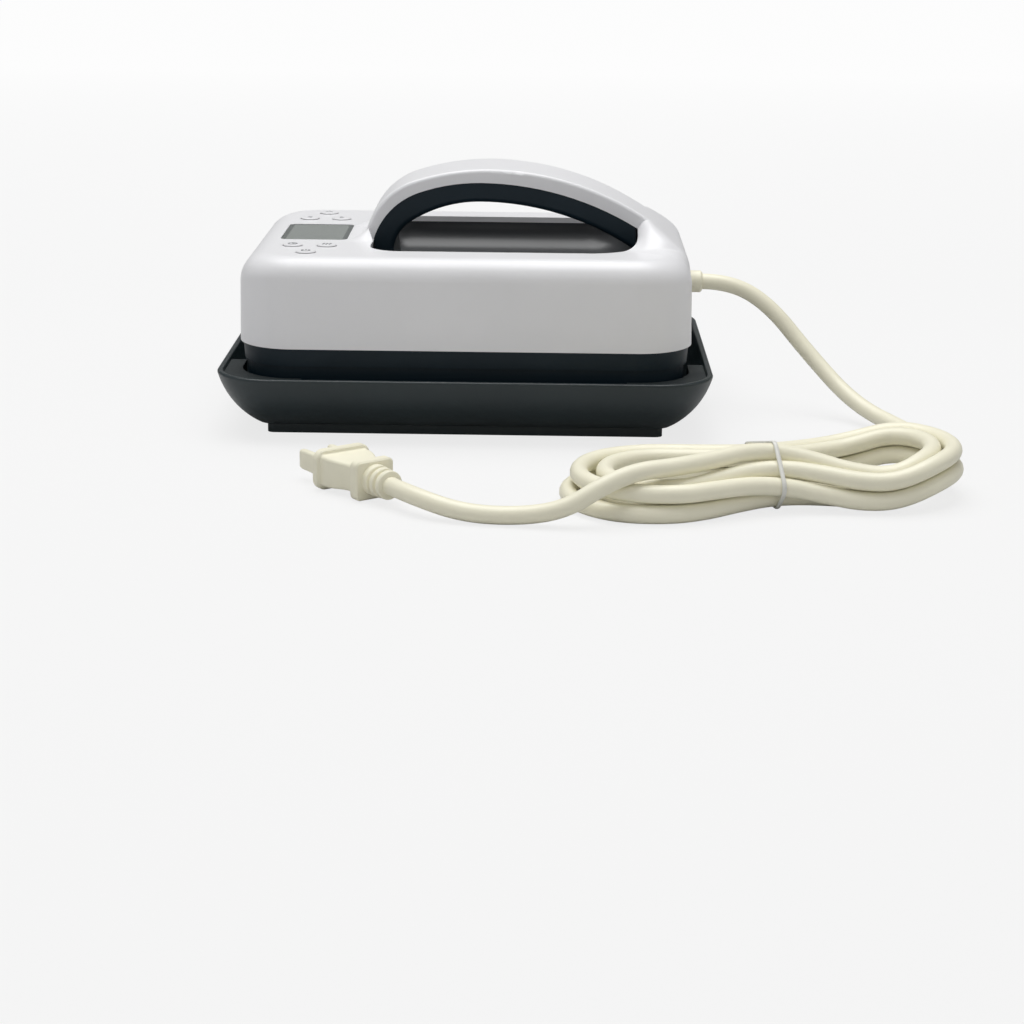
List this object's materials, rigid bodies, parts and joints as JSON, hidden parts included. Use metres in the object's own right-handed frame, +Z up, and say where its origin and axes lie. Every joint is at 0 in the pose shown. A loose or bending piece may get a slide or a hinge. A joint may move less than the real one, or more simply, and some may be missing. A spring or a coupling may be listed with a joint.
{
  "type": "portable heat press",
  "caption": "Portable heat press with a bridge handle over a hand well, a button panel and display, a bundled cord with plug, standing in an insulated tray",
  "frame": {"origin": "middle of the tray's flat foot, on the surface that it stands on", "axes": "+X runs along the press from the control panel to the cord, +Y from the front long side to the back, +Z up"},
  "size_m": [0.3026, 0.278, 0.1067],
  "materials": {
    "white_shell": "satin moulded white",
    "grip_black": "fine matt moulded black",
    "well_dark": "fine matt moulded dark grey",
    "tray_dark": "semi-gloss moulded charcoal",
    "pad_rubber": "matt silicone",
    "coated_plate": "non-stick coated aluminium casting",
    "steel": "plain steel",
    "ceramic_post": "turned brass",
    "fibre": "felted glass fibre",
    "circuit_board": "green resist",
    "black_parts": "moulded black",
    "display": "grey-green display, switched off",
    "window": "clear window",
    "button_white": "satin moulded white",
    "cord_cream": "smooth cream cable sheath",
    "tie_clear": "thin milky tie",
    "plug_cream": "smooth cream moulding",
    "pin_metal": "nickel-plated pins"
  },
  "bodies": {
    "tray": {"tray_shell": "tray_dark", "corner_pad_front_left": "pad_rubber", "corner_pad_front_right": "pad_rubber", "corner_pad_back_left": "pad_rubber", "corner_pad_back_right": "pad_rubber", "heat_mat": "pad_rubber"},
    "press": {"buzzer": "black_parts", "capacitor": "black_parts", "case_screw_back_left": "steel", "case_screw_back_right": "steel", "case_screw_front_left": "steel", "case_screw_front_right": "steel", "control_board": "circuit_board", "cord_collar": "cord_cream", "cord_hank": "cord_cream", "cord_tail": "cord_cream", "cord_tie": "tie_clear", "display_module": "display", "display_window": "window", "hand_grip": "grip_black", "heat_shield": "steel", "heating_element": "steel", "heating_plate": "coated_plate", "insulation_blanket": "fibre", "lower_housing": "grip_black", "plug_blade_left": "pin_metal", "plug_blade_right": "pin_metal", "plug_body": "plug_cream", "plug_sleeve": "cord_cream", "power_board": "circuit_board", "power_cord": "cord_cream", "relay": "black_parts", "standoff_back_left": "ceramic_post", "standoff_back_right": "ceramic_post", "standoff_front_left": "ceramic_post", "standoff_front_right": "ceramic_post", "temperature_sensor": "steel", "terminal_block": "black_parts", "thermal_cutoff": "steel", "tilt_switch": "black_parts", "transformer": "black_parts", "upper_housing": "white_shell", "well_pan": "well_dark"},
    "button_up": {"button_up": "button_white"},
    "button_left": {"button_left": "button_white"},
    "button_right": {"button_right": "button_white"},
    "button_timer": {"button_timer": "button_white"},
    "button_heat": {"button_heat": "button_white"},
    "button_power": {"button_power": "button_white"}
  },
  "joints": [
    {"name": "press_lift", "type": "slide", "parent": "tray", "child": "press", "axis": [0, 0, 1], "range_m": [0, 0.06]},
    {"name": "button_up_push", "type": "slide", "parent": "press", "child": "button_up", "axis": [0, 0, -1], "range_m": [0, 0.0005], "stiffness_N_per_m": 400, "springref_m": -0.0005},
    {"name": "button_left_push", "type": "slide", "parent": "press", "child": "button_left", "axis": [0, 0, -1], "range_m": [0, 0.0005], "stiffness_N_per_m": 400, "springref_m": -0.0005},
    {"name": "button_right_push", "type": "slide", "parent": "press", "child": "button_right", "axis": [0, 0, -1], "range_m": [0, 0.0005], "stiffness_N_per_m": 400, "springref_m": -0.0005},
    {"name": "button_timer_push", "type": "slide", "parent": "press", "child": "button_timer", "axis": [0, 0, -1], "range_m": [0, 0.0005], "stiffness_N_per_m": 400, "springref_m": -0.0005},
    {"name": "button_heat_push", "type": "slide", "parent": "press", "child": "button_heat", "axis": [0, 0, -1], "range_m": [0, 0.0005], "stiffness_N_per_m": 400, "springref_m": -0.0005},
    {"name": "button_power_push", "type": "slide", "parent": "press", "child": "button_power", "axis": [0, 0, -1], "range_m": [0, 0.0005], "stiffness_N_per_m": 400, "springref_m": -0.0005}
  ]
}
